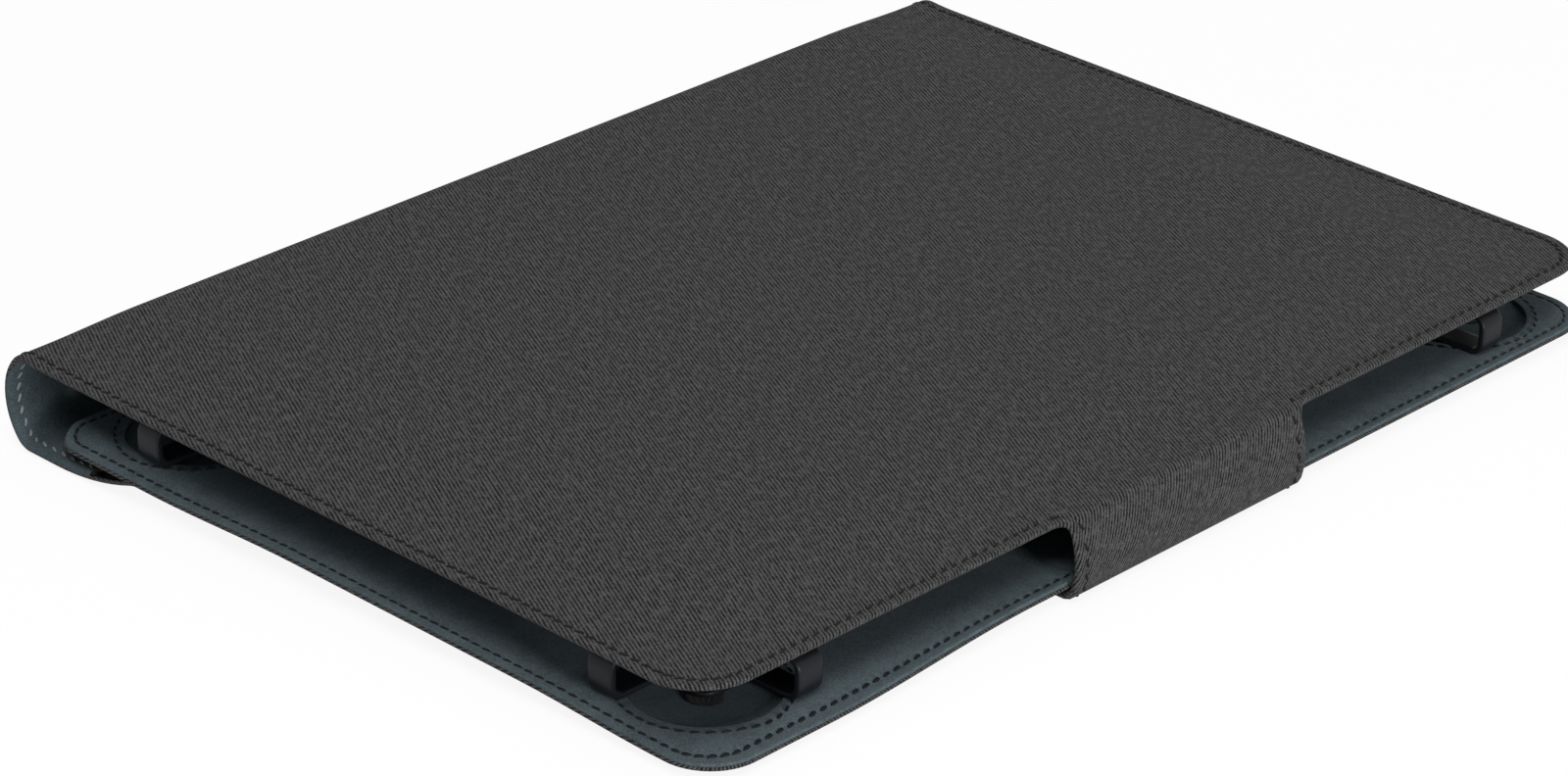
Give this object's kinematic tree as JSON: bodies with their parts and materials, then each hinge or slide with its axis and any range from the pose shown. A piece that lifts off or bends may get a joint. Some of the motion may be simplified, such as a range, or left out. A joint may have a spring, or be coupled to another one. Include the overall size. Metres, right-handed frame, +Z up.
{
  "type": "tablet keyboard case",
  "caption": "Closed folio case for a tablet, with a twill shell over boards, a wide curved spine, a closing strap, sprung corner grips and a slim keyboard inside the cover.",
  "frame": {"origin": "under the middle of the closed case, at the height of its lowest face", "axes": "+X along the spine, +Y from the opening edge to the spine, +Z up through the cover"},
  "size_m": [0.2534, 0.191, 0.0213],
  "materials": {
    "twill": "matt twill weave",
    "suede": "short napped suede",
    "elastic": "ribbed elastic",
    "pulp_board": "grey pulp board",
    "grip_plastic": "satin",
    "key_plastic": "fine matt",
    "housing_plastic": "fine matt",
    "film": "clear film with printed tracks",
    "silicone": "matt",
    "battery_foil": "foil",
    "circuit_board": "coated",
    "chip": "moulded",
    "steel": "plain",
    "magnet": "plated",
    "lens": "clear"
  },
  "bodies": {
    "holder": {"panel_twill": "twill", "panel_board": "pulp_board", "panel_lining": "suede", "recess_patches": "suede", "catch_plate": "steel", "elastic_front_left": "elastic", "elastic_front_right": "elastic", "elastic_back_left": "elastic", "elastic_back_right": "elastic", "flap_twill": "twill", "flap_board": "pulp_board", "flap_lining": "suede"},
    "spine": {"spine_twill": "twill", "spine_board": "pulp_board", "spine_lining": "suede"},
    "cover": {"cover_twill": "twill", "cover_board": "pulp_board", "cover_lining": "suede", "keyboard_base": "housing_plastic", "keyboard_bezel": "housing_plastic", "membrane_circuit": "film", "dome_sheet": "silicone", "battery": "battery_foil", "controller_board": "circuit_board", "controller_chips": "chip", "charging_port": "steel", "status_lenses": "lens"},
    "strap": {"strap_twill": "twill", "strap_lining": "suede"},
    "tab": {"tab_twill": "twill", "tab_card": "pulp_board", "tab_magnets": "magnet", "tab_lining": "suede"},
    "grip_front_left": {"corner_grip_front_left": "grip_plastic"},
    "grip_front_right": {"corner_grip_front_right": "grip_plastic"},
    "grip_back_left": {"corner_grip_back_left": "grip_plastic"},
    "grip_back_right": {"corner_grip_back_right": "grip_plastic"},
    "function_keys": {"function_keys": "key_plastic"},
    "number_keys": {"number_keys": "key_plastic"},
    "backspace_key": {"backspace_key": "key_plastic"},
    "tab_key": {"tab_key": "key_plastic"},
    "upper_letter_keys": {"upper_letter_keys": "key_plastic"},
    "backslash_key": {"backslash_key": "key_plastic"},
    "caps_key": {"caps_key": "key_plastic"},
    "home_letter_keys": {"home_letter_keys": "key_plastic"},
    "enter_key": {"enter_key": "key_plastic"},
    "left_shift_key": {"left_shift_key": "key_plastic"},
    "lower_letter_keys": {"lower_letter_keys": "key_plastic"},
    "right_shift_key": {"right_shift_key": "key_plastic"},
    "left_modifier_keys": {"left_modifier_keys": "key_plastic"},
    "space_bar": {"space_bar": "key_plastic"},
    "right_modifier_keys": {"right_modifier_keys": "key_plastic"},
    "arrow_left_key": {"arrow_left_key": "key_plastic"},
    "arrow_up_key": {"arrow_up_key": "key_plastic"},
    "arrow_down_key": {"arrow_down_key": "key_plastic"},
    "arrow_right_key": {"arrow_right_key": "key_plastic"},
    "power_switch": {"power_switch": "key_plastic"},
    "pairing_button": {"pairing_button": "key_plastic"}
  },
  "joints": [
    {"name": "back_hinge", "type": "hinge", "parent": "holder", "child": "spine", "pos_m": [0, 0.0888, 0], "axis": [-1, 0, 0], "range_deg": [0, 90]},
    {"name": "cover_hinge", "type": "hinge", "parent": "spine", "child": "cover", "pos_m": [0, 0.0927, 0.0202], "axis": [-1, 0, 0], "range_deg": [0, 180]},
    {"name": "strap_fold", "type": "hinge", "parent": "cover", "child": "strap", "pos_m": [0, -0.0921, 0.021], "axis": [-1, 0, 0], "range_deg": [0, 150]},
    {"name": "tab_fold", "type": "hinge", "parent": "strap", "child": "tab", "pos_m": [0, -0.0948, 0.00505], "axis": [-1, 0, 0], "range_deg": [0, 90]},
    {"name": "grip_front_left_slide", "type": "slide", "parent": "holder", "child": "grip_front_left", "axis": [-0.7071, -0.7071, 0], "range_m": [0, 0.004], "stiffness_N_per_m": 500},
    {"name": "grip_front_right_slide", "type": "slide", "parent": "holder", "child": "grip_front_right", "axis": [0.7071, -0.7071, 0], "range_m": [0, 0.004], "stiffness_N_per_m": 500},
    {"name": "grip_back_left_slide", "type": "slide", "parent": "holder", "child": "grip_back_left", "axis": [-0.7071, 0.7071, 0], "range_m": [0, 0.004], "stiffness_N_per_m": 500},
    {"name": "grip_back_right_slide", "type": "slide", "parent": "holder", "child": "grip_back_right", "axis": [0.7071, 0.7071, 0], "range_m": [0, 0.004], "stiffness_N_per_m": 500},
    {"name": "function_keys_press", "type": "slide", "parent": "cover", "child": "function_keys", "axis": [0, 0, 1], "range_m": [0, 0.0006], "stiffness_N_per_m": 8400},
    {"name": "number_keys_press", "type": "slide", "parent": "cover", "child": "number_keys", "axis": [0, 0, 1], "range_m": [0, 0.0006], "stiffness_N_per_m": 7200},
    {"name": "backspace_key_press", "type": "slide", "parent": "cover", "child": "backspace_key", "axis": [0, 0, 1], "range_m": [0, 0.0006], "stiffness_N_per_m": 600},
    {"name": "tab_key_press", "type": "slide", "parent": "cover", "child": "tab_key", "axis": [0, 0, 1], "range_m": [0, 0.0006], "stiffness_N_per_m": 600},
    {"name": "upper_letter_keys_press", "type": "slide", "parent": "cover", "child": "upper_letter_keys", "axis": [0, 0, 1], "range_m": [0, 0.0006], "stiffness_N_per_m": 6600},
    {"name": "backslash_key_press", "type": "slide", "parent": "cover", "child": "backslash_key", "axis": [0, 0, 1], "range_m": [0, 0.0006], "stiffness_N_per_m": 600},
    {"name": "caps_key_press", "type": "slide", "parent": "cover", "child": "caps_key", "axis": [0, 0, 1], "range_m": [0, 0.0006], "stiffness_N_per_m": 600},
    {"name": "home_letter_keys_press", "type": "slide", "parent": "cover", "child": "home_letter_keys", "axis": [0, 0, 1], "range_m": [0, 0.0006], "stiffness_N_per_m": 6000},
    {"name": "enter_key_press", "type": "slide", "parent": "cover", "child": "enter_key", "axis": [0, 0, 1], "range_m": [0, 0.0006], "stiffness_N_per_m": 600},
    {"name": "left_shift_key_press", "type": "slide", "parent": "cover", "child": "left_shift_key", "axis": [0, 0, 1], "range_m": [0, 0.0006], "stiffness_N_per_m": 600},
    {"name": "lower_letter_keys_press", "type": "slide", "parent": "cover", "child": "lower_letter_keys", "axis": [0, 0, 1], "range_m": [0, 0.0006], "stiffness_N_per_m": 6000},
    {"name": "right_shift_key_press", "type": "slide", "parent": "cover", "child": "right_shift_key", "axis": [0, 0, 1], "range_m": [0, 0.0006], "stiffness_N_per_m": 600},
    {"name": "left_modifier_keys_press", "type": "slide", "parent": "cover", "child": "left_modifier_keys", "axis": [0, 0, 1], "range_m": [0, 0.0006], "stiffness_N_per_m": 2400},
    {"name": "space_bar_press", "type": "slide", "parent": "cover", "child": "space_bar", "axis": [0, 0, 1], "range_m": [0, 0.0006], "stiffness_N_per_m": 600, "deforming": ["dome_sheet"]},
    {"name": "right_modifier_keys_press", "type": "slide", "parent": "cover", "child": "right_modifier_keys", "axis": [0, 0, 1], "range_m": [0, 0.0006], "stiffness_N_per_m": 1200},
    {"name": "arrow_left_key_press", "type": "slide", "parent": "cover", "child": "arrow_left_key", "axis": [0, 0, 1], "range_m": [0, 0.0006], "stiffness_N_per_m": 600},
    {"name": "arrow_up_key_press", "type": "slide", "parent": "cover", "child": "arrow_up_key", "axis": [0, 0, 1], "range_m": [0, 0.0006], "stiffness_N_per_m": 600},
    {"name": "arrow_down_key_press", "type": "slide", "parent": "cover", "child": "arrow_down_key", "axis": [0, 0, 1], "range_m": [0, 0.0006], "stiffness_N_per_m": 600},
    {"name": "arrow_right_key_press", "type": "slide", "parent": "cover", "child": "arrow_right_key", "axis": [0, 0, 1], "range_m": [0, 0.0006], "stiffness_N_per_m": 600},
    {"name": "power_switch_slide", "type": "slide", "parent": "cover", "child": "power_switch", "axis": [1, 0, 0], "range_m": [0, 0.003]},
    {"name": "pairing_button_press", "type": "slide", "parent": "cover", "child": "pairing_button", "axis": [0, 0, 1], "range_m": [0, 0.0005], "stiffness_N_per_m": 900}
  ]
}
